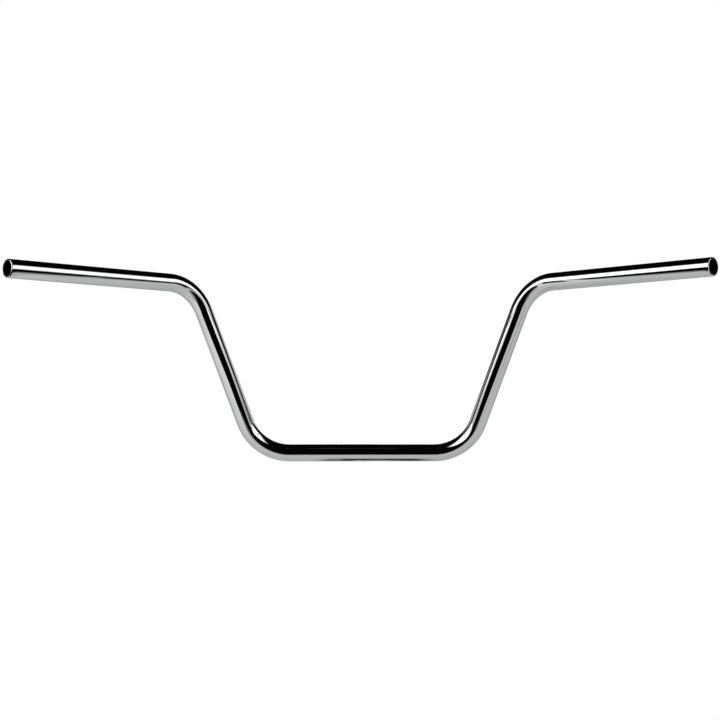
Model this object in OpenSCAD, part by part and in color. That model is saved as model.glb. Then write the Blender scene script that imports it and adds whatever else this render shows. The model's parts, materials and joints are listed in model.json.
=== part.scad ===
// Ape hanger handlebar: one length of chromed steel tube with four bends.
// A straight clamp section lies across the bottom, an upright rises from each
// side of it, and the uprights turn over into two grips that sweep back.
// X runs along the bar to the rider's right, Y points ahead and Z is up.
// The origin is in the middle of the clamp section, on the tube's centre line.

/* [Tube] */
// Outside diameter of the tube, the same in all of its straight stretches
tube_d = 25.4; // [20:0.2:32]
// Thickness of the tube's wall
wall = 3; // [2.2:0.1:4.5]

/* [Clamp section] */
// Straight length between the two lower bends, which the risers clamp
clamp_straight = 214; // [120:2:320]

/* [Uprights] */
// Straight length of each upright, between its lower and its upper bend
upright_straight = 178; // [60:2:420]
// Angle by which each upright leans outwards
upright_splay = 18.5; // [4:0.5:30]
// Angle by which both uprights lean back to the rider
upright_lean = 15; // [-10:0.5:35]

/* [Grips] */
// Straight length of each grip, from its upper bend to its open end
grip_straight = 260; // [130:2:340]
// Angle by which each grip sweeps back
grip_sweep = 44.5; // [5:0.5:60]
// Angle by which each grip climbs towards its open end
grip_rise = 2; // [-25:0.5:20]

/* [Bends] */
// Radius of the four bends, measured to the tube's centre line
bend_radius = 68; // [45:1:110]
// Depth by which the bending die draws the tube in, all round each bend
bend_draw = 0.05; // [0.03:0.01:0.2]

/* [Open ends] */
// Radius on the outer edge of each open end
end_round = 1.5; // [0.5:0.1:1.6]
// Chamfer on the inner edge of each open end
mouth_chamfer = 0.5; // [0.2:0.1:0.5]

/* [Hidden] */
$fn = 96;

tube_r = tube_d / 2;
bore_r = tube_r - wall;
// Length by which a straight stretch runs on into the bend next to it
lap = 0.5;
// Length by which a cutter passes the face that it cuts
overrun = 1;

// Directions of the tube on the rider's right, from the clamp section outwards
clamp_dir = [1, 0, 0];
upright_dir = [
    sin(upright_splay),
    -cos(upright_splay) * sin(upright_lean),
    cos(upright_splay) * cos(upright_lean)
];
grip_dir = [
    cos(grip_rise) * cos(grip_sweep),
    -cos(grip_rise) * sin(grip_sweep),
    sin(grip_rise)
];

// Points on the centre line where one stretch hands over to the next
lower_bend_start = clamp_dir * clamp_straight / 2;
upright_start = bend_end(lower_bend_start, clamp_dir, upright_dir);
upper_bend_start = upright_start + upright_dir * upright_straight;
grip_start = bend_end(upper_bend_start, upright_dir, grip_dir);
grip_end = grip_start + grip_dir * grip_straight;

// Angle between two directions
function turn(from, to) = acos(from * to);

// Direction square to from, on the side that the bend turns to
function inward(from, to) =
    let (side = to - from * (to * from))
    side / norm(side);

// Middle of the arc that leaves start along from
function bend_centre(start, from, to) = start + inward(from, to) * bend_radius;

// Point where that arc meets the direction to
function bend_end(start, from, to) =
    bend_centre(start, from, to)
    - inward(from, to) * bend_radius * cos(turn(from, to))
    + from * bend_radius * sin(turn(from, to));

// Sets its children at a point, with their Z axis along a direction
module aim(point, dir) {
    translate(point)
        rotate([0, acos(dir.z), atan2(dir.y, dir.x)])
            children();
}

// Straight rod between two bends, with a lap into each
module straight(start, dir, length, r) {
    aim(start - dir * lap, dir)
        cylinder(h = length + 2 * lap, r = r);
}

// Round rod along the arc from one direction to the next
module bend(start, from, to, r) {
    x = -inward(from, to);
    y = from;
    z = cross(x, y);
    c = bend_centre(start, from, to);
    multmatrix([
        [x.x, y.x, z.x, c.x],
        [x.y, y.y, z.y, c.y],
        [x.z, y.z, z.z, c.z],
        [0, 0, 0, 1]
    ])
        rotate_extrude(angle = turn(from, to))
            translate([bend_radius, 0])
                circle(r = r - bend_draw);
}

// Everything but the grips of a bent rod of radius r
module bent_rod(r) {
    straight(-lower_bend_start, clamp_dir, clamp_straight, r);
    both_sides() {
        bend(lower_bend_start, clamp_dir, upright_dir, r);
        straight(upright_start, upright_dir, upright_straight, r);
        bend(upper_bend_start, upright_dir, grip_dir, r);
    }
}

// Both sides of what is drawn for the rider's right
module both_sides() {
    children();
    mirror([1, 0, 0])
        children();
}

// Half section of a grip's outside, with its end rounded over
module grip_profile() {
    length = grip_straight + lap;
    difference() {
        square([tube_r, length]);
        translate([tube_r - end_round, length - end_round])
            difference() {
                square(end_round + overrun);
                circle(r = end_round);
            }
    }
}

// Outside of a grip
module grip_rod() {
    aim(grip_start - grip_dir * lap, grip_dir)
        rotate_extrude()
            grip_profile();
}

// Bore of a grip, countersunk where it comes out
module grip_bore() {
    aim(grip_start - grip_dir * lap, grip_dir)
        cylinder(h = lap + grip_straight + overrun, r = bore_r);
    aim(grip_end - grip_dir * mouth_chamfer, grip_dir)
        cylinder(
            h = mouth_chamfer + overrun,
            r1 = bore_r,
            r2 = bore_r + mouth_chamfer + overrun
        );
}

// The bent tube, open at both ends
module handlebar() {
    color("silver")
        difference() {
            union() {
                bent_rod(tube_r);
                both_sides()
                    grip_rod();
            }
            union() {
                bent_rod(bore_r);
                both_sides()
                    grip_bore();
            }
        }
}

handlebar();
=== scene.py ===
"""Ape hanger handlebar: one bent, chromed tube, open at both ends, in a plain studio.

The tube is one surface worked out with numpy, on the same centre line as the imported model.
Lengths are in metres, angles in degrees, +X to the right, +Y away from the camera, +Z up.
"""
import json
import math

import bpy
import numpy as np
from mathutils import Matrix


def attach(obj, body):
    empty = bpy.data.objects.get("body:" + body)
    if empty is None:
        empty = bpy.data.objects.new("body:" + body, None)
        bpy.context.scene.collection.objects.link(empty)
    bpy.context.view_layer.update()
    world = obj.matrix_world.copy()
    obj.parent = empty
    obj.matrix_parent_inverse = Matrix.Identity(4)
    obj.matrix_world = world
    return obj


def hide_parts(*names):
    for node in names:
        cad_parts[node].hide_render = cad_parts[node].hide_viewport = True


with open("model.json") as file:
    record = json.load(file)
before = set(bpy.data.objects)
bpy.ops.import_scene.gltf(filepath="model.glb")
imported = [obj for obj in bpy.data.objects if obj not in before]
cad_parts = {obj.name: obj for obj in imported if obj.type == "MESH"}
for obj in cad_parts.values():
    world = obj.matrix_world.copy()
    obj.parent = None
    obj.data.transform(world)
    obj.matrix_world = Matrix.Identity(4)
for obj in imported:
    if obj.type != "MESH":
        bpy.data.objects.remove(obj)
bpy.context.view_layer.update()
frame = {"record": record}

MM = 0.001

# The tube's section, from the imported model's mounts
MOUNTS = {mount["name"]: mount for mount in frame["record"]["mounts"]}
TUBE_RADIUS = MOUNTS["clamp_section"]["dims"]["r_mm"] * MM
BORE_RADIUS = MOUNTS["right_end_bore"]["dims"]["r_mm"] * MM
GRIP_DIRECTION = np.array(MOUNTS["right_grip_seat"]["axis"], dtype=float)

# The centre line's straight runs and bends, one half of the bar
HALF_CLAMP_RUN = 107 * MM
UPRIGHT_RUN = 178 * MM
GRIP_RUN = 260 * MM
BEND_RADIUS = 68 * MM
UPRIGHT_SPLAY = 18.5
UPRIGHT_LEAN = 15.0

# The open ends
END_ROUND = 1.5 * MM
MOUTH_CHAMFER = 0.5 * MM

# The grid that the surface is worked out on
SEGMENTS_AROUND = 120
RUN_STEP = 6 * MM
BEND_STEP = 1.5 * MM
END_ROUND_STEPS = 8
EDGE_GAP = 0.06 * MM

# The finish: scales in waves per metre, along and across the tube where there are three, and
# heights from the lowest to the highest point
CHROME_COLOUR = (0.8, 0.8, 0.81, 1)
CHROME_ROUGHNESS = (0.018, 0.085)
RIPPLE_SCALE = 21
RIPPLE_HEIGHT = 0.16 * MM
HAIRLINE_SCALES = (14, 2600, 2600)
HAIRLINE_HEIGHT = 0.0006 * MM
HAZE_SCALE = 48
STEEL_DARK = (0.035, 0.031, 0.028, 1)
STEEL_LIGHT = (0.095, 0.09, 0.084, 1)
STEEL_ROUGHNESS = (0.32, 0.62)
DIE_LINE_SCALES = (9, 900, 900)
DIE_LINE_HEIGHT = 0.03 * MM
PATCH_SCALE = 210


def unit(vector):
    """The vector divided by its own length."""
    return vector / np.linalg.norm(vector)


def turned(vectors, axis, angles):
    """Each vector turned round a unit axis by its own angle, in radians.

    Rodrigues' formula: v cos a + (axis x v) sin a + axis (axis . v) (1 - cos a).
    """
    cosine = np.cos(angles)[:, None]
    sine = np.sin(angles)[:, None]
    along = (vectors @ axis)[:, None] * axis
    return vectors * cosine + np.cross(axis, vectors) * sine + along * (1 - cosine)


def upright_direction():
    """The way up the right upright: out by its splay, back by its lean."""
    splay, lean = math.radians(UPRIGHT_SPLAY), math.radians(UPRIGHT_LEAN)
    rise = math.cos(splay)
    return np.array([math.sin(splay), -rise * math.sin(lean), rise * math.cos(lean)])


class Bend:
    """One bend: a circular arc that turns the centre line from one direction to the next."""

    def __init__(self, start, before, after, length_before):
        self.start = start
        self.axis = unit(np.cross(before, after))
        self.angle = math.acos(float(before @ after))
        self.centre = start + BEND_RADIUS * np.cross(self.axis, before)
        self.begins = length_before
        self.ends = length_before + BEND_RADIUS * self.angle
        spoke = (start - self.centre)[None]
        self.finish = self.centre + turned(spoke, self.axis, np.array([self.angle]))[0]

    def angles(self, lengths):
        """How far the bend has turned at each length: 0 before it, its whole angle past it."""
        return np.clip((lengths - self.begins) / BEND_RADIUS, 0, self.angle)


CLAMP_DIRECTION = np.array([1.0, 0.0, 0.0])
UPRIGHT_DIRECTION = upright_direction()
LOWER_BEND = Bend(HALF_CLAMP_RUN * CLAMP_DIRECTION, CLAMP_DIRECTION, UPRIGHT_DIRECTION, HALF_CLAMP_RUN)
UPPER_BEND = Bend(LOWER_BEND.finish + UPRIGHT_RUN * UPRIGHT_DIRECTION, UPRIGHT_DIRECTION,
                  GRIP_DIRECTION, LOWER_BEND.ends + UPRIGHT_RUN)
HALF_LENGTH = UPPER_BEND.ends + GRIP_RUN


def centre_line(lengths):
    """Points and frames of the centre line at signed lengths from the bar's middle.

    The right half is a straight, an arc, a straight, an arc and a straight. Its frame (side, up)
    starts as (+Y, +Z) and turns with each arc, so it never twists. The left half is its mirror image.
    """
    length = np.abs(lengths)
    lower, upper = LOWER_BEND.angles(length), UPPER_BEND.angles(length)

    def carried(vector):
        start = np.broadcast_to(vector, (len(length), 3))
        return turned(turned(start, LOWER_BEND.axis, lower), UPPER_BEND.axis, upper)

    on_clamp = CLAMP_DIRECTION * length[:, None]
    on_lower = LOWER_BEND.centre + turned(
        np.broadcast_to(LOWER_BEND.start - LOWER_BEND.centre, on_clamp.shape), LOWER_BEND.axis, lower)
    on_upright = LOWER_BEND.finish + UPRIGHT_DIRECTION * (length - LOWER_BEND.ends)[:, None]
    on_upper = UPPER_BEND.centre + turned(
        np.broadcast_to(UPPER_BEND.start - UPPER_BEND.centre, on_clamp.shape), UPPER_BEND.axis, upper)
    on_grip = UPPER_BEND.finish + GRIP_DIRECTION * (length - UPPER_BEND.ends)[:, None]
    limits = [LOWER_BEND.begins, LOWER_BEND.ends, UPPER_BEND.begins, UPPER_BEND.ends]
    stretch = np.searchsorted(limits, length)
    point = np.choose(stretch[:, None], [on_clamp, on_lower, on_upright, on_upper, on_grip])
    mirror = np.where(lengths < 0, -1.0, 1.0)[:, None] * [1, 0, 0] + [0, 1, 1]
    side = carried(np.array([0.0, 1.0, 0.0]))
    up = carried(np.array([0.0, 0.0, 1.0]))
    return point * mirror, side * mirror, up * mirror


def stations_along(start, end, step):
    """Evenly spaced lengths from start up to, but without, end."""
    return np.linspace(start, end, max(2, round((end - start) / step)), endpoint=False)


def half_skin():
    """Lengths of the rings on one half of the skin, from the middle out to the end's rounding."""
    return np.concatenate([
        stations_along(0, LOWER_BEND.begins, RUN_STEP),
        stations_along(LOWER_BEND.begins, LOWER_BEND.ends, BEND_STEP),
        stations_along(LOWER_BEND.ends, UPPER_BEND.begins, RUN_STEP),
        stations_along(UPPER_BEND.begins, UPPER_BEND.ends, BEND_STEP),
        stations_along(UPPER_BEND.ends, HALF_LENGTH - END_ROUND, RUN_STEP),
    ])


def end_section():
    """Length and radius of each ring over the right end, from the skin into the bore.

    A quarter circle, the flat rim, a chamfer and the start of the bore, with a ring on both
    sides of each corner so that the shading stays crisp there.
    """
    quarter = np.linspace(0, math.pi / 2, END_ROUND_STEPS + 1)
    round_length = HALF_LENGTH - END_ROUND * (1 - np.sin(quarter))
    round_radius = TUBE_RADIUS - END_ROUND * (1 - np.cos(quarter))
    mouth = BORE_RADIUS + MOUTH_CHAMFER
    rim = [
        (HALF_LENGTH, TUBE_RADIUS - END_ROUND - EDGE_GAP),
        (HALF_LENGTH, mouth + EDGE_GAP),
        (HALF_LENGTH, mouth),
        (HALF_LENGTH - MOUTH_CHAMFER, BORE_RADIUS),
        (HALF_LENGTH - MOUTH_CHAMFER - EDGE_GAP, BORE_RADIUS),
    ]
    return (np.concatenate([round_length, [length for length, _ in rim]]),
            np.concatenate([round_radius, [radius for _, radius in rim]]))


def section_loop():
    """Length, radius and plating of every ring, once round the wall of the tube.

    Out along the skin from the left end to the right, over the right end, back through the
    bore and over the left end, which closes the loop.
    """
    skin = half_skin()
    over_length, over_radius = end_section()
    bore = skin[::2]
    bore = bore[bore < over_length[-1] - BEND_STEP]
    out_length = np.concatenate([-skin[:0:-1], skin, over_length])
    out_radius = np.concatenate([np.full(2 * len(skin) - 1, TUBE_RADIUS), over_radius])
    back_length = np.concatenate([bore[::-1], -bore[1:], -over_length[::-1]])
    back_radius = np.concatenate([np.full(2 * len(bore) - 1, BORE_RADIUS), over_radius[::-1]])
    rounding = END_ROUND_STEPS + 1
    over_plating = np.where(np.arange(len(over_length)) < rounding, 1.0, 0.0)
    plating = np.concatenate([np.ones(2 * len(skin) - 1), over_plating,
                              np.zeros(2 * len(bore) - 1), over_plating[::-1]])
    return np.concatenate([out_length, back_length]), np.concatenate([out_radius, back_radius]), plating


def ring_grid(lengths, radii):
    """Points of the surface, centre line(length) + radius (side sin a + up cos a), a full turn round."""
    around = np.linspace(0, 2 * math.pi, SEGMENTS_AROUND, endpoint=False)
    point, side, up = centre_line(lengths)
    spoke = side[:, None] * np.sin(around)[None, :, None] + up[:, None] * np.cos(around)[None, :, None]
    return point[:, None] + radii[:, None, None] * spoke


def closed_grid_mesh(name, points):
    """A mesh of four-sided faces over a grid of points that closes in both directions."""
    rows, columns = points.shape[:2]
    row, column = np.meshgrid(np.arange(rows), np.arange(columns), indexing="ij")
    next_row, next_column = (row + 1) % rows, (column + 1) % columns
    corners = np.stack([row * columns + column, row * columns + next_column,
                        next_row * columns + next_column, next_row * columns + column], axis=-1)
    mesh = bpy.data.meshes.new(name)
    mesh.vertices.add(rows * columns)
    mesh.vertices.foreach_set("co", points.reshape(-1))
    mesh.loops.add(corners.size)
    mesh.loops.foreach_set("vertex_index", corners.reshape(-1))
    mesh.polygons.add(rows * columns)
    mesh.polygons.foreach_set("loop_start", np.arange(0, corners.size, 4))
    mesh.polygons.foreach_set("use_smooth", np.ones(rows * columns, dtype=bool))
    mesh.update(calc_edges=True)
    mesh.validate()
    return mesh


def placed(name, mesh):
    """A new object for the mesh, at the origin, in the scene."""
    piece = bpy.data.objects.new(name, mesh)
    bpy.context.scene.collection.objects.link(piece)
    return piece


def add_node(tree, kind, **settings):
    """A shader node of that kind with its settings made."""
    node = tree.nodes.new(kind)
    for setting, value in settings.items():
        setattr(node, setting, value)
    return node


def feed(tree, socket, value):
    """Gives a socket a plain value, or the value of another socket."""
    if isinstance(value, bpy.types.NodeSocket):
        tree.links.new(value, socket)
    else:
        socket.default_value = value


def new_material(name):
    """A material with an empty node tree, and its tree and output node."""
    material = bpy.data.materials.new(name)
    material.use_nodes = True
    tree = material.node_tree
    tree.nodes.clear()
    return material, tree, add_node(tree, "ShaderNodeOutputMaterial")


def value_range(tree, value, low, high, start=0, end=1):
    """A socket that runs from low to high as a value runs from start to end."""
    node = add_node(tree, "ShaderNodeMapRange")
    node.inputs["From Min"].default_value = start
    node.inputs["From Max"].default_value = end
    node.inputs["To Min"].default_value = low
    node.inputs["To Max"].default_value = high
    tree.links.new(value, node.inputs["Value"])
    return node.outputs["Result"]


def stretched(tree, place, scales):
    """A place vector multiplied by its own scale on each axis, in waves per metre."""
    node = add_node(tree, "ShaderNodeVectorMath", operation="MULTIPLY")
    node.inputs[1].default_value = scales
    tree.links.new(place, node.inputs[0])
    return node.outputs["Vector"]


def bumped(tree, height, distance, normal):
    """A normal raised by a height pattern, whose full height is a distance in metres."""
    node = add_node(tree, "ShaderNodeBump")
    node.inputs["Distance"].default_value = distance
    tree.links.new(height, node.inputs["Height"])
    if normal is not None:
        tree.links.new(normal, node.inputs["Normal"])
    return node.outputs["Normal"]


def noise(tree, place, scale, detail):
    """A noise pattern's value at a place, with a scale in waves per metre."""
    node = add_node(tree, "ShaderNodeTexNoise")
    node.inputs["Scale"].default_value = scale
    node.inputs["Detail"].default_value = detail
    tree.links.new(place, node.inputs["Vector"])
    return node.outputs["Fac"]


def mixed(tree, kind, factor, first, second):
    """A socket that mixes two values or colours by a factor."""
    node = add_node(tree, "ShaderNodeMix", data_type=kind)
    tree.links.new(factor, node.inputs["Factor"])
    inputs = [socket for socket in node.inputs if socket.name in ("A", "B") and socket.enabled]
    for socket, value in zip(inputs, (first, second)):
        feed(tree, socket, value)
    return next(socket for socket in node.outputs if socket.enabled)


def math_node(tree, operation, first, second=0):
    """The result socket of a math node on one or two values or sockets."""
    node = add_node(tree, "ShaderNodeMath", operation=operation)
    for socket, value in zip(node.inputs, (first, second)):
        feed(tree, socket, value)
    return node.outputs[0]


def product(tree, *factors):
    """A socket with the product of several values or sockets."""
    result = factors[0]
    for factor in factors[1:]:
        result = math_node(tree, "MULTIPLY", result, factor)
    return result


def plated_steel():
    """Bright chrome over the skin and the ends' rounding, and bare dark steel inside.

    The chrome has a slow ripple from bending and polishing, hairlines that the polishing wheel
    left along the tube, and a faint haze. The steel has the lines of the drawing die and a dull,
    patchy scale. Patterns that run along the tube read the place on the tube as if it were straight.
    """
    material, tree, output = new_material("chrome_plated_steel")
    shader = add_node(tree, "ShaderNodeBsdfPrincipled")
    shader.inputs["Metallic"].default_value = 1
    along = add_node(tree, "ShaderNodeAttribute", attribute_name="straight_tube").outputs["Vector"]
    plating = add_node(tree, "ShaderNodeAttribute", attribute_name="plating").outputs["Fac"]
    hairlines = noise(tree, stretched(tree, along, HAIRLINE_SCALES), 1, 3)
    haze = noise(tree, along, HAZE_SCALE, 4)
    die_lines = noise(tree, stretched(tree, along, DIE_LINE_SCALES), 1, 4)
    scale_patches = noise(tree, along, PATCH_SCALE, 5)
    chrome_roughness = value_range(tree, product(tree, hairlines, haze), *CHROME_ROUGHNESS)
    steel_roughness = value_range(tree, scale_patches, *STEEL_ROUGHNESS)
    roughness = mixed(tree, "FLOAT", plating, steel_roughness, chrome_roughness)
    steel = mixed(tree, "RGBA", scale_patches, STEEL_DARK, STEEL_LIGHT)
    colour = mixed(tree, "RGBA", plating, steel, CHROME_COLOUR)
    ripple = bumped(tree, noise(tree, along, RIPPLE_SCALE, 1), RIPPLE_HEIGHT, None)
    polished = bumped(tree, hairlines, HAIRLINE_HEIGHT, ripple)
    bare = bumped(tree, math_node(tree, "ADD", die_lines, scale_patches), DIE_LINE_HEIGHT, None)
    normal = mixed(tree, "VECTOR", plating, bare, polished)
    for name, socket in (("Roughness", roughness), ("Base Color", colour), ("Normal", normal)):
        tree.links.new(socket, shader.inputs[name])
    tree.links.new(shader.outputs["BSDF"], output.inputs["Surface"])
    return material


def make_bar():
    """The whole bent tube, skin, ends and bore, as one closed surface.

    Each point also keeps how far it is plated, and its place on the tube as if that were straight:
    length along it, radius sin a and radius cos a.
    """
    lengths, radii, plating = section_loop()
    mesh = closed_grid_mesh("bent_tube", ring_grid(lengths, radii))
    plated = mesh.attributes.new("plating", "FLOAT", "POINT")
    plated.data.foreach_set("value", np.repeat(plating, SEGMENTS_AROUND).astype(np.float32))
    around = np.linspace(0, 2 * math.pi, SEGMENTS_AROUND, endpoint=False)
    length, radius = lengths[:, None], radii[:, None]
    straight = np.stack([length + 0 * around, radius * np.sin(around), radius * np.cos(around)], axis=-1)
    mesh.attributes.new("straight_tube", "FLOAT_VECTOR", "POINT").data.foreach_set(
        "vector", straight.reshape(-1).astype(np.float32))
    bar = placed("bent_tube", mesh)
    mesh.materials.append(plated_steel())
    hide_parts("handlebar")
    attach(bar, "root")


# The camera, fitted to the bar's outline in the photograph, with the uprights' lean taken as known
CAMERA_BACK = 2161.2 * MM
CAMERA_RIGHT = -2.6 * MM
CAMERA_UP = 138.0 * MM
CAMERA_YAW = 0.675
CAMERA_ROLL = 0.096
CAMERA_LENS_MM = 72.675
SENSOR_MM = 36


def add_camera():
    """A level camera in front of the bar, at the place and with the lens that the fit gave."""
    data = bpy.data.cameras.new("camera")
    data.lens = CAMERA_LENS_MM
    data.sensor_width = SENSOR_MM
    camera = bpy.data.objects.new("camera", data)
    yaw = math.radians(CAMERA_YAW)
    roll = math.radians(CAMERA_ROLL)
    sideways = CAMERA_RIGHT * math.cos(yaw) + CAMERA_BACK * math.sin(yaw)
    back = CAMERA_BACK * math.cos(yaw) - CAMERA_RIGHT * math.sin(yaw)
    camera.location = (sideways, -back, CAMERA_UP)
    camera.rotation_euler = (math.pi / 2, roll, yaw)
    bpy.context.scene.collection.objects.link(camera)
    bpy.context.scene.camera = camera


# The studio. It is invented: the places and levels of its cards and its table were fitted to the
# bands in the photograph's chrome and then changed, and the real room isn't known.
# Its cards and its table show only in the chrome. A level is a share of white. A card's
# azimuth is 0 towards the camera and grows towards the side that the card stands on. Its elevation
# is above the horizon, and both are seen from a card eye, the middle of the other side's upright
FLOOR_DEPTH = 0.60
FLOOR_HALF = 2.5
FLOOR_CLEAR = (0.50, 0.80)
FLOOR_PAINT = (0.8, 0.8, 0.8, 1)
FILL_LEVEL = 0.6
LAMP_PLACE = (0, -0.3, 2.2)
LAMP_SIZE = 1.5
LAMP_WATTS = 40
TABLE_DEPTH = 0.148
ON_TABLE = (-TABLE_DEPTH, -TABLE_DEPTH)
TABLE_FRONT = 0.337
TABLE_SKEW = 0.07
TABLE_BACK = 3.0
CLOTH_FRONT = 15.0
TABLE_HALF = 4.2
TABLE_FRONT_FADE = 0.24
TABLE_SIDE_FADE = 0.20
TABLE_LEVEL = 0.53
TABLE_FALL = 0.22
TABLE_FALL_REACH = 0.5
CARD_EYE_OUT = 0.20
CARD_EYE_BACK = 0.035
CARD_EYE_UP = 0.12
ROOM_RADIUS = 30.0
ROOM_LEVEL = 0.0015
ROOM_STEPS = 24
POLE_GAP = 0.001
CARD_STEPS = 16
CARD_THICKNESS = 4 * MM
CARD_TINT = (0.98, 1.0, 0.985, 1)
BROKEN_FADE = 0.2
BACK_FADE = 0.03
BACK_LEVEL = 0.46

# Where the table is lit more or less: the centre (x, y) and radius of a round pool, and what it adds
LIGHT_POOL = ((-0.65, -0.30), 0.62, 0.44)
DULL_POOL = ((0.18, 0.06), 0.34, -0.09)


def smooth_ramp(tree, value, start, end):
    """A socket that rises smoothly from 0 at start to 1 at end."""
    node = add_node(tree, "ShaderNodeMapRange", interpolation_type="SMOOTHSTEP")
    node.inputs["From Min"].default_value = start
    node.inputs["From Max"].default_value = end
    tree.links.new(value, node.inputs["Value"])
    return node.outputs["Result"]


def faded(tree, place, at_start, at_end):
    """A socket that is 1 in the middle of a card and fades to 0 over a share of it at both ends."""
    return product(tree, smooth_ramp(tree, place, 0, at_start), smooth_ramp(tree, place, 1, 1 - at_end))


def axes_of(tree, socket):
    """The X, Y and Z sockets of a vector socket."""
    parts = add_node(tree, "ShaderNodeSeparateXYZ")
    tree.links.new(socket, parts.inputs[0])
    return parts.outputs[0], parts.outputs[1], parts.outputs[2]


def glow_through(tree, output, level, cover):
    """A surface that glows at a level where cover is 1 and lets the room through where it is 0."""
    glow = add_node(tree, "ShaderNodeEmission")
    glow.inputs["Color"].default_value = CARD_TINT
    feed(tree, glow.inputs["Strength"], level)
    mix = add_node(tree, "ShaderNodeMixShader")
    clear = add_node(tree, "ShaderNodeBsdfTransparent")
    tree.links.new(cover, mix.inputs[0])
    tree.links.new(clear.outputs[0], mix.inputs[1])
    tree.links.new(glow.outputs[0], mix.inputs[2])
    tree.links.new(mix.outputs[0], output.inputs["Surface"])


def grid_mesh(name, points):
    """A mesh over an open grid of points, with each point's place in the grid, 0 to 1, as its UV."""
    rows, columns = points.shape[:2]
    row, column = np.meshgrid(np.arange(rows - 1), np.arange(columns - 1), indexing="ij")
    first = row * columns + column
    corners = np.stack([first, first + 1, first + columns + 1, first + columns], axis=-1).reshape(-1)
    mesh = bpy.data.meshes.new(name)
    mesh.from_pydata(points.reshape(-1, 3).tolist(), [], corners.reshape(-1, 4).tolist())
    u, v = np.meshgrid(np.linspace(0, 1, columns), np.linspace(0, 1, rows))
    place = np.stack([u, v], axis=-1).reshape(-1, 2)
    mesh.uv_layers.new(name="place").data.foreach_set("uv", place[corners].reshape(-1).astype(np.float32))
    return mesh


def seen_by_mirrors_only(piece):
    """Keeps a studio piece out of the picture itself, so that it shows only in the chrome."""
    piece.visible_camera = False
    piece.visible_shadow = False
    piece.visible_transmission = False
    piece.visible_diffuse = False


def upright_card(name, start, end, bottoms, tops, fades, level):
    """An upright card from start to end, (x, y) each, that glows and fades out at its four edges.

    Its grid is start + u (end - start) along and bottom(u) + v (top(u) - bottom(u)) up. bottoms
    and tops are the heights at the start and the end. fades gives the width of each fade as a
    share of the card: at the start, the end, the bottom and the top.
    """
    along = np.linspace(0, 1, CARD_STEPS)[None, :]
    rise = np.linspace(0, 1, CARD_STEPS)[:, None]
    bottom = bottoms[0] + along * (bottoms[1] - bottoms[0])
    top = tops[0] + along * (tops[1] - tops[0])
    points = np.stack([start[0] + along * (end[0] - start[0]) + 0 * rise,
                       start[1] + along * (end[1] - start[1]) + 0 * rise,
                       bottom + rise * (top - bottom)], axis=-1)
    card = placed(name, grid_mesh(name, points))
    material, tree, output = new_material(name)
    u, v, _ = axes_of(tree, add_node(tree, "ShaderNodeUVMap", uv_map="place").outputs["UV"])
    cover = product(tree, faded(tree, u, *fades[:2]), faded(tree, v, *fades[2:]))
    glow_through(tree, output, level, cover)
    card.data.materials.append(material)
    seen_by_mirrors_only(card)


def broken_card(name, x_ends, y_ends, height, scales, breaks, level):
    """A level card between two x and two y, faded at its edges and broken up by a noise pattern.

    The pattern has its own scale on each axis, and shows as the card between the two values of breaks.
    """
    across, back = np.meshgrid(np.linspace(*x_ends, CARD_STEPS), np.linspace(*y_ends, CARD_STEPS))
    card = placed(name, grid_mesh(name, np.stack([across, back, np.full_like(back, height)], axis=-1)))
    material, tree, output = new_material(name)
    u, v, _ = axes_of(tree, add_node(tree, "ShaderNodeUVMap", uv_map="place").outputs["UV"])
    place = add_node(tree, "ShaderNodeTexCoord").outputs["Object"]
    pattern = smooth_ramp(tree, noise(tree, stretched(tree, place, scales), 1, 2), *breaks)
    edges = [faded(tree, place_across, BROKEN_FADE, BROKEN_FADE) for place_across in (u, v)]
    cover = product(tree, *edges, pattern)
    glow_through(tree, output, level, cover)
    card.data.materials.append(material)
    seen_by_mirrors_only(card)


def add_soft_box(name, side, distance, azimuths, bottoms, tops, fades, level):
    """A soft box that faces the bar, between two azimuths on one side (1 right, -1 left).

    Its azimuths and elevations are those seen from the middle of the other side's upright.
    """
    middle = math.radians(sum(azimuths) / 2)
    ends, heights = [], []
    for azimuth, bottom, top in zip(azimuths, bottoms, tops):
        turn = math.radians(azimuth)
        reach = distance / math.cos(turn - middle)
        out = reach * math.sin(turn) - CARD_EYE_OUT
        ends.append((side * out, -CARD_EYE_BACK - reach * math.cos(turn)))
        heights.append([CARD_EYE_UP + reach * math.tan(math.radians(angle)) for angle in (bottom, top)])
    low, high = zip(*heights)
    upright_card(name, *ends, low, high, fades, level)


def add_backdrop(name, side, back, edge_azimuth, tops, fades, level):
    """Half of the grey backdrop behind the bar, from the middle out to an azimuth on one side."""
    depth = back + CARD_EYE_BACK
    edge = depth * math.tan(math.radians(180 - edge_azimuth)) - CARD_EYE_OUT
    upright_card(name, (0, back), (side * edge, back), ON_TABLE, tops, fades, level)


def add_reflector(name, side, inner, turn, length, tops, fades, level):
    """A white reflector with a grey back, standing before the bar on one side and turned a little."""
    start = np.array([side * inner[0], -inner[1]])
    along = np.array([side * math.cos(turn), -math.sin(turn)])
    behind = CARD_THICKNESS * np.array([side * math.sin(turn), math.cos(turn)])
    end = start + length * along
    upright_card(name, start, end, ON_TABLE, tops, fades, level)
    back_fades = [min(fade, BACK_FADE) for fade in fades]
    upright_card(name + "_back", start - behind, end - behind, ON_TABLE, tops, back_fades, BACK_LEVEL)


def add_side_wall(name, side, out, front, tops, fades, level):
    """A pale wall on one side of the set, from a front edge back to the end of the table."""
    upright_card(name, (side * out, front), (side * out, TABLE_BACK), ON_TABLE, tops, fades, level)


def round_pool(tree, x, y, centre, radius, amount):
    """A socket that is 1 outside a round pool and changes smoothly by an amount towards its centre."""
    across = math_node(tree, "SUBTRACT", x, centre[0])
    back = math_node(tree, "SUBTRACT", y, centre[1])
    square = math_node(tree, "ADD", product(tree, across, across), product(tree, back, back))
    distance = math_node(tree, "SQRT", square)
    return math_node(tree, "ADD", product(tree, smooth_ramp(tree, distance, radius, 0), amount), 1)


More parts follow.
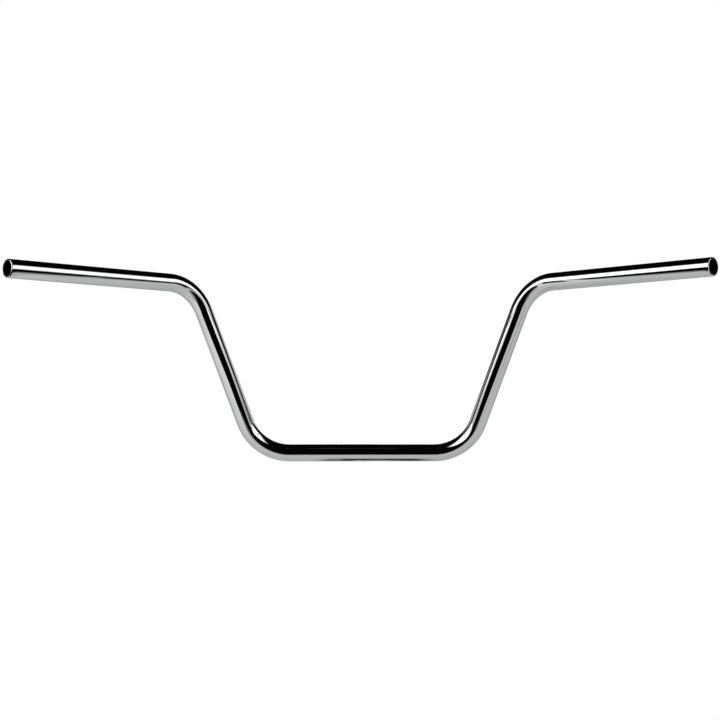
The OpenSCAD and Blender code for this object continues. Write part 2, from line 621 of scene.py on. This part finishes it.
def add_table():
    """The pale table top under the bar, lit a little less towards the back, and a black cloth before it.

    The cloth's edge is at y = -TABLE_FRONT on the right, and nears the bar by TABLE_SKEW |x| on the left.
    """
    side = TABLE_HALF + TABLE_SIDE_FADE
    across = np.linspace(-side, side, CARD_STEPS)[None, :]
    back = np.linspace(-CLOTH_FRONT, TABLE_BACK, CARD_STEPS)[:, None]
    points = np.stack([across + 0 * back, back + 0 * across, -TABLE_DEPTH + 0 * (across + back)], axis=-1)
    table = placed("table_top", grid_mesh("table_top", points))
    material, tree, output = new_material("table_top")
    x, y, _ = axes_of(tree, add_node(tree, "ShaderNodeTexCoord").outputs["Object"])
    fade = TABLE_FRONT_FADE / 2
    skew = math_node(tree, "MULTIPLY", math_node(tree, "MINIMUM", x, 0), TABLE_SKEW)
    from_edge = math_node(tree, "ADD", y, skew)
    lit = smooth_ramp(tree, from_edge, -TABLE_FRONT - fade, -TABLE_FRONT + fade)
    level = value_range(tree, y, TABLE_LEVEL * (1 + TABLE_FALL), TABLE_LEVEL * (1 - TABLE_FALL),
                        -TABLE_FALL_REACH, TABLE_FALL_REACH)
    width = math_node(tree, "ABSOLUTE", x)
    cover = smooth_ramp(tree, width, TABLE_HALF + TABLE_SIDE_FADE / 2, TABLE_HALF - TABLE_SIDE_FADE / 2)
    pools = [round_pool(tree, x, y, *pool) for pool in (LIGHT_POOL, DULL_POOL)]
    glow_through(tree, output, product(tree, lit, level, *pools), cover)
    table.data.materials.append(material)
    seen_by_mirrors_only(table)


def add_dark_room():
    """The nearly dark room round the set, as a large ball that only mirrors see."""
    rise = np.linspace(-math.pi / 2 + POLE_GAP, math.pi / 2 - POLE_GAP, ROOM_STEPS)[:, None]
    turn = np.linspace(0, 2 * math.pi, 2 * ROOM_STEPS + 1)[None, :]
    ball = ROOM_RADIUS * np.stack([np.cos(rise) * np.cos(turn), np.cos(rise) * np.sin(turn),
                                   np.sin(rise) + 0 * turn], axis=-1)
    room = placed("dark_room", grid_mesh("dark_room", ball))
    material, tree, output = new_material("dark_room")
    glow = add_node(tree, "ShaderNodeEmission")
    glow.inputs["Strength"].default_value = ROOM_LEVEL
    tree.links.new(glow.outputs[0], output.inputs["Surface"])
    room.data.materials.append(material)
    seen_by_mirrors_only(room)


def background_mask(tree):
    """1 for the rays that see the background: the camera's, a mirror's and clear glass's."""
    path = add_node(tree, "ShaderNodeLightPath")
    camera = path.outputs["Is Camera Ray"]
    mirror = path.outputs["Is Glossy Ray"]
    glass = path.outputs["Is Transmission Ray"]
    return math_node(tree, "MAXIMUM", camera, math_node(tree, "MAXIMUM", mirror, glass))


def add_world():
    """A white world for the background, and a plain level of light for the rest."""
    world = bpy.data.worlds.new("studio")
    world.use_nodes = True
    tree = world.node_tree
    background = tree.nodes["Background"]
    background.inputs["Color"].default_value = (1, 1, 1, 1)
    level = value_range(tree, background_mask(tree), FILL_LEVEL, 1)
    tree.links.new(level, background.inputs["Strength"])
    bpy.context.scene.world = world


def add_floor():
    """A pale floor that clears to the white background away from the bar."""
    edge = np.linspace(-FLOOR_HALF, FLOOR_HALF, CARD_STEPS)
    across, back = np.meshgrid(edge, edge)
    level = np.full_like(back, -FLOOR_DEPTH)
    floor = placed("floor", grid_mesh("floor", np.stack([across, back, level], axis=-1)))
    material, tree, output = new_material("pale_floor")
    place = add_node(tree, "ShaderNodeVectorMath", operation="LENGTH")
    tree.links.new(add_node(tree, "ShaderNodeTexCoord").outputs["Object"], place.inputs[0])
    begins, ends = [math.hypot(FLOOR_DEPTH, reach) for reach in FLOOR_CLEAR]
    clear = smooth_ramp(tree, place.outputs["Value"], begins, ends)
    paint = add_node(tree, "ShaderNodeBsdfDiffuse")
    paint.inputs["Color"].default_value = FLOOR_PAINT
    white = add_node(tree, "ShaderNodeEmission")
    mix = add_node(tree, "ShaderNodeMixShader")
    tree.links.new(product(tree, clear, background_mask(tree)), mix.inputs[0])
    tree.links.new(paint.outputs[0], mix.inputs[1])
    tree.links.new(white.outputs[0], mix.inputs[2])
    tree.links.new(mix.outputs[0], output.inputs["Surface"])
    floor.data.materials.append(material)
    floor.visible_glossy = False


def add_lamp():
    """One broad soft lamp above the bar, for the floor's light and the bar's soft shadow."""
    data = bpy.data.lights.new("soft_lamp", "AREA")
    data.shape = "DISK"
    data.size = LAMP_SIZE
    data.energy = LAMP_WATTS
    lamp = bpy.data.objects.new("soft_lamp", data)
    lamp.location = LAMP_PLACE
    lamp.visible_glossy = False
    bpy.context.scene.collection.objects.link(lamp)


def add_painted_shadow_strip():
    """A narrow strip of black card close under the clamp section, broken up by a noise pattern: a painted
    shadow of the bar on the table, which the chrome mirrors as the dark line along it.
    """
    broken_card("painted_shadow_strip", x_ends=(-0.082, 0.119), y_ends=(-0.0155, 0.0133), height=-0.03,
                scales=(20, 55, 1), breaks=(0.36, 0.50), level=0.03)


def add_ceiling_glow():
    """A faint, broken glow on the ceiling, which the top of the clamp section mirrors."""
    broken_card("ceiling_glow", x_ends=(-0.26, 0.24), y_ends=(-1.30, -0.95), height=2.5,
                scales=(13, 9, 1), breaks=(0.49, 0.60), level=0.09)


def add_soft_boxes():
    """The two soft boxes, whose mirror images are the white bands on the grips and uprights."""
    add_soft_box("soft_box_right", side=1, distance=9.0, azimuths=(41.0, 93.0), bottoms=(-26.0, 7.0),
                 tops=(37.5, 38.2), fades=(0.02, 0.012, 0.29, 0.4), level=1.55)
    add_soft_box("soft_box_left", side=-1, distance=7.8, azimuths=(27.0, 97.6), bottoms=(-9.7, 0.3),
                 tops=(49.3, 34.4), fades=(0.16, 0.2, 0.16, 0.4), level=1.9)


def add_grey_cards():
    """The backdrop's halves, the reflectors and the side wall, mirrored as the uprights' grey bands."""
    add_backdrop("backdrop_right", side=1, back=2.8, edge_azimuth=100.0, tops=(1.33, 1.71),
                 fades=(0.001, 0.04, 0.001, 0.31), level=0.62)
    add_backdrop("backdrop_left", side=-1, back=0.357, edge_azimuth=117.5, tops=(0.052, 0.693),
                 fades=(0.001, 0.115, 0.001, 0.45), level=0.38)
    add_reflector("reflector_left", side=-1, inner=(0.207, 0.233), turn=0.066, length=0.44,
                  tops=(-0.016, 0.39), fades=(0.054, 0.054, 0.001, 0.13), level=0.79)
    add_reflector("reflector_right", side=1, inner=(0.144, 0.286), turn=0.2, length=0.494,
                  tops=(-0.092, 0.418), fades=(0.094, 0.094, 0.001, 0.445), level=0.575)
    add_side_wall("side_wall_left", side=-1, out=0.845, front=0.362, tops=(0.374, 0.263),
                  fades=(0.1, 0.001, 0.001, 0.05), level=0.74)


add_camera()
add_world()
add_dark_room()
add_table()
add_floor()
add_lamp()
add_soft_boxes()
add_grey_cards()
# The painted shadow of the bar on the table, as a dark card under the clamp section
add_painted_shadow_strip()
add_ceiling_glow()
make_bar()
bpy.context.scene.view_settings.view_transform = "Standard"
